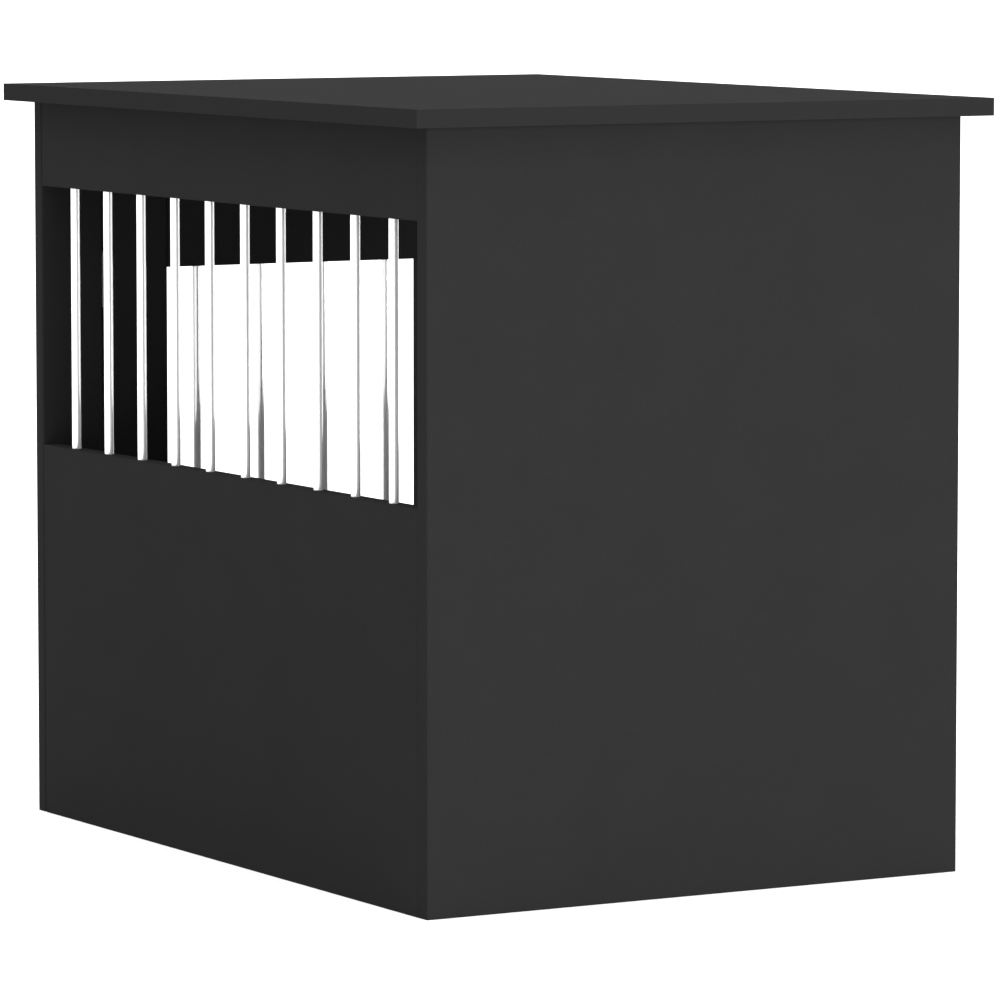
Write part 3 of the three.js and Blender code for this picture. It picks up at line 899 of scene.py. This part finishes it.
def screw_hole(start, direction):
    """Shell of a countersunk hole: the screw's cone a gap wider, and open to both sides."""
    head = SCREW_HEAD_RADIUS + SCREW_HOLE_GAP
    shank = SCREW_RADIUS + SCREW_HOLE_GAP
    profile = [
        (0, -DRILL_PAST),
        (head, -DRILL_PAST),
        (head, 0),
        (shank, head - shank),
        (shank, CUT_DEPTH),
        (0, CUT_DEPTH),
    ]
    return turned(profile, start, direction)


print("a countersink is", 2 * (SCREW_HEAD_RADIUS + SCREW_HOLE_GAP), "mm wide")

# %% [markdown]
# ## Butt hinges
# A butt hinge is two leaves of strip steel whose fingers are rolled round one pin, turn by
# turn. The roll is what gives it away: the strip comes up the neck, goes round the pin, and
# its end stops just short of the neck, with a fine gap. So a knuckle is the outline of the
# rolled strip carried up the pin, not a drilled cylinder.

# %% The rolled knuckle
LEAF_THICKNESS = 1.2
LEAF_OFFSET = 0.3
KNUCKLE_RADIUS = 3.0
KNUCKLE_BORE = 1.8
KNUCKLE_STEPS = 40
ROLL_GAP_ANGLE = 3.5
NECK_OVERLAP = 1.5
SEAT_GAP = 0.3
LEAF_FRONT = KNUCKLE_RADIUS + SEAT_GAP


def rolled_strip(side):
    """Outline of a rolled finger about the pin, its neck towards the board. The outer arc
    runs from a gap beside the neck right round to the neck's far face, the inner arc runs
    back, and side is 1 or -1 for the leaf whose neck lies towards +X or -X of the pin."""
    near, far = LEAF_OFFSET, LEAF_OFFSET + LEAF_THICKNESS
    end = math.acos(near / KNUCKLE_RADIUS) + math.radians(ROLL_GAP_ANGLE)
    outer = np.linspace(end, 2 * np.pi + math.acos(far / KNUCKLE_RADIUS), KNUCKLE_STEPS)
    inner = np.linspace(2 * np.pi + math.acos(near / KNUCKLE_BORE), end, KNUCKLE_STEPS)
    neck_end = LEAF_FRONT + NECK_OVERLAP
    outer_arc = KNUCKLE_RADIUS * np.stack([np.cos(outer), np.sin(outer)], -1)
    inner_arc = KNUCKLE_BORE * np.stack([np.cos(inner), np.sin(inner)], -1)
    outline = np.concatenate([outer_arc, [(far, neck_end), (near, neck_end)], inner_arc])
    return outline * (side, 1)


print("points round a rolled knuckle:", len(rolled_strip(1)))

# %% The leaves
KNUCKLE_COUNT = 5
KNUCKLE_GAP = 0.3
LEAF_CORNER = 2.0
FRONT_CORNER = 0.3
STAMPED_EASE = 0.15
LEAF_SCREW_SPACING = 30
HINGE_SCREW_LENGTH = 16
SCREW_SINK = 0.1
LEAF_SIDES = {"frame": 1, "door": -1}


def leaf(node, which):
    """A hinge leaf over a node's box: a plate on the board's edge, joined with every second
    knuckle. Its screws go into the frame or the door. Returns the leaf and the places of its screw
    heads."""
    side = LEAF_SIDES[which]
    low, high = corners(node)
    pin_x, pin_y = (low[X] + high[X]) / 2, low[Y] + KNUCKLE_RADIUS
    faces = sorted(pin_x + side * reach for reach in (LEAF_OFFSET, LEAF_OFFSET + LEAF_THICKNESS))
    front = pin_y + LEAF_FRONT
    rectangle = [(front, low[Z]), (high[Y], low[Z]), (high[Y], high[Z]), (front, high[Z])]
    blank = rounded_polygon(rectangle, [FRONT_CORNER, LEAF_CORNER, LEAF_CORNER, FRONT_CORNER])
    piece = skinned(f"{node}_plate", [prism(blank, *faces, STAMPED_EASE, (Y, Z, X))], [UPRIGHT_NICKEL])
    pitch = (high[Z] - low[Z] + KNUCKLE_GAP) / KNUCKLE_COUNT
    starts = low[Z] + pitch * np.arange(0 if side > 0 else 1, KNUCKLE_COUNT, 2)
    strip = rolled_strip(side) + (pin_x, pin_y)
    knuckles = [
        prism(strip, start, start + pitch - KNUCKLE_GAP, STAMPED_EASE, (X, Y, Z)) for start in starts
    ]
    worked(piece, "UNION", knuckles, UPRIGHT_NICKEL)
    face_x = pin_x + side * (LEAF_OFFSET + SCREW_SINK)
    middle = (low[Z] + high[Z]) / 2
    heads = [
        (face_x, (front + high[Y]) / 2, middle + end * LEAF_SCREW_SPACING / 2) for end in (-1, 1)
    ]
    worked(piece, "DIFFERENCE", [screw_hole(head, (side, 0, 0)) for head in heads], UPRIGHT_NICKEL)
    return piece, heads


HINGE_SCREWS = []
for node in nodes_of("hinge", "leaf"):
    which = BODY_OF[node]
    piece, heads = leaf(node, which)
    stands_for(piece, node)
    for number, head in enumerate(heads, 1):
        name = node.replace("leaf", f"screw_{number}")
        into_board = (LEAF_SIDES[which], 0, 0)
        turn = len(HINGE_SCREWS) * SCREW_TURN_RADIANS
        fixing = screw(name, head, into_board, HINGE_SCREW_LENGTH, turn)
        HINGE_SCREWS.append(finished(fixing, which))
print("hinge leaves made, with screws:", len(HINGE_SCREWS))

# %% The pins
PIN_RADIUS = 1.5
PIN_HEAD_HEIGHT = 1.6
PIN_HEAD_RIM = 0.4
PIN_EDGE = 0.3


def hinge_pin(node):
    """A pin over a node's box: a wire with a rounded tail and a domed head. The dome is a
    quarter ellipse from the rim to the top."""
    low, high = corners(node)
    middle = (low + high) / 2
    head = (high[X] - low[X]) / 2
    under = high[Z] - PIN_HEAD_HEIGHT
    bend = np.linspace(0, np.pi / 2, ARC_STEPS + 1)
    dome_height = PIN_HEAD_HEIGHT - PIN_HEAD_RIM
    dome = zip(head * np.cos(bend), under + PIN_HEAD_RIM + dome_height * np.sin(bend))
    profile = [
        (0, low[Z]),
        *arc((PIN_RADIUS - PIN_EDGE, low[Z] + PIN_EDGE), PIN_EDGE, -90, 0),
        (PIN_RADIUS, under),
        (head, under),
        *dome,
    ]
    shell = turned(profile, (middle[X], middle[Y], 0), UP)
    return skinned(f"{node}_wire", [shell], [UPRIGHT_NICKEL])


PINS = [stands_for(hinge_pin(node), node) for node in nodes_of("hinge", "pin")]
print("pins made:", len(PINS))

# %% [markdown]
# ## The slide bolt
# A slide bolt is a round bar that runs through bent straps on a plate, and shoots into one
# more strap on a keeper. The straps are bent from strip, so their outer corners are rounder
# than their inner ones. They could stay pieces of their own, but plate and straps are joined
# here, as they are when riveted, so that no face is hidden inside another.

# %% Plates with straps
PLATE_THICKNESS = 1.2
PLATE_CORNER = 2.5
STRAP_WIDTH = 8.0
STRAP_BORE = 3.4
STRAP_THICKNESS = 1.2
STRAP_OUTER_BEND = 1.8
STRAP_INNER_BEND = 0.6


def strap(x, plate_front, z):
    """Rings of a strap bent square over the bolt, with its feet in the plate."""
    outer = STRAP_BORE + STRAP_THICKNESS
    foot = plate_front + PLATE_THICKNESS / 2
    inside = plate_front - 2 * STRAP_BORE
    outside = inside - STRAP_THICKNESS
    right = [(STRAP_BORE, inside), (STRAP_BORE, foot), (outer, foot), (outer, outside)]
    left = [(-across, y) for across, y in right[::-1]]
    bends = [STRAP_INNER_BEND, 0, 0, STRAP_OUTER_BEND]
    outline = rounded_polygon(right + left, bends + bends[::-1]) + (z, 0)
    return prism(outline, x, x + STRAP_WIDTH, STAMPED_EASE, (Z, Y, X))


def strapped_plate(node, strap_places, screw_nodes):
    """A plate over a node's box, joined with straps that start at the given distances from
    its low end, and drilled for the screws."""
    low, high = corners(node)
    plate_front = high[Y] - PLATE_THICKNESS
    rectangle = [(low[X], low[Z]), (high[X], low[Z]), (high[X], high[Z]), (low[X], high[Z])]
    blank = rounded_polygon(rectangle, [PLATE_CORNER] * 4)
    shell = prism(blank, plate_front, high[Y], STAMPED_EASE, (X, Z, Y))
    piece = skinned(f"{node}_pressing", [shell], [LEVEL_NICKEL])
    middle = (low[Z] + high[Z]) / 2
    straps = [strap(low[X] + place, plate_front, middle) for place in strap_places]
    worked(piece, "UNION", straps, LEVEL_NICKEL)
    holes = []
    for screw_node in screw_nodes:
        screw_low, screw_high = corners(screw_node)
        across = (screw_low + screw_high) / 2
        holes.append(screw_hole((across[X], screw_low[Y], across[Z]), INTO_BOARD))
    return worked(piece, "DIFFERENCE", holes, LEVEL_NICKEL)


plate_low, plate_high = corners("latch_plate")
keeper_low, keeper_high = corners("latch_keeper")
plate_straps = (0, plate_high[X] - plate_low[X] - STRAP_WIDTH)
keeper_straps = ((keeper_high[X] - keeper_low[X] - STRAP_WIDTH) / 2,)
PLATE = strapped_plate("latch_plate", plate_straps, nodes_of("screw", "latch"))
KEEPER = strapped_plate("latch_keeper", keeper_straps, nodes_of("screw", "keeper"))
stands_for(PLATE, "latch_plate")
stands_for(KEEPER, "latch_keeper")
print("faces of the latch plate:", len(PLATE.data.polygons))

# %% The bolt and its knob
BOLT_RADIUS = 3.0
BOLT_EDGE = 0.8
KNOB_PLACE = 31.5
KNOB_LENGTH = 6.5
KNOB_EDGE = 1.0
KNOB_STEM_RADIUS = 1.8
KNOB_HOLLOW = 0.25
OUTWARDS = (0, -1, 0)
RIGHTWARDS = (1, 0, 0)


def bolt(node):
    """A bar with rounded ends, joined with a turned knob: a stem, then a drum with round
    edges. The knob's face is a little hollow, as a lathe leaves it."""
    low, high = corners(node)
    axis_y = high[Y] - BOLT_RADIUS
    axis_z = (low[Z] + high[Z]) / 2
    bar = [
        (0, low[X]),
        *arc((BOLT_RADIUS - BOLT_EDGE, low[X] + BOLT_EDGE), BOLT_EDGE, -90, 0),
        *arc((BOLT_RADIUS - BOLT_EDGE, high[X] - BOLT_EDGE), BOLT_EDGE, 0, 90),
        (0, high[X]),
    ]
    piece = skinned(f"{node}_bar", [turned(bar, (0, axis_y, axis_z), RIGHTWARDS)], [LEVEL_NICKEL])
    knob_radius = (high[Z] - low[Z]) / 2
    reach = axis_y - low[Y]
    base = reach - KNOB_LENGTH
    knob = [
        (0, 0),
        (KNOB_STEM_RADIUS, 0),
        (KNOB_STEM_RADIUS, base),
        *arc((knob_radius - KNOB_EDGE, base + KNOB_EDGE), KNOB_EDGE, -90, 0),
        *arc((knob_radius - KNOB_EDGE, reach - KNOB_EDGE), KNOB_EDGE, 0, 90),
        (0, reach - KNOB_HOLLOW),
    ]
    shell = turned(knob, (low[X] + KNOB_PLACE, axis_y, axis_z), OUTWARDS)
    return worked(piece, "UNION", [shell], LEVEL_NICKEL)


BOLT = stands_for(bolt("latch_bolt"), "latch_bolt")
print("faces of the bolt:", len(BOLT.data.polygons))
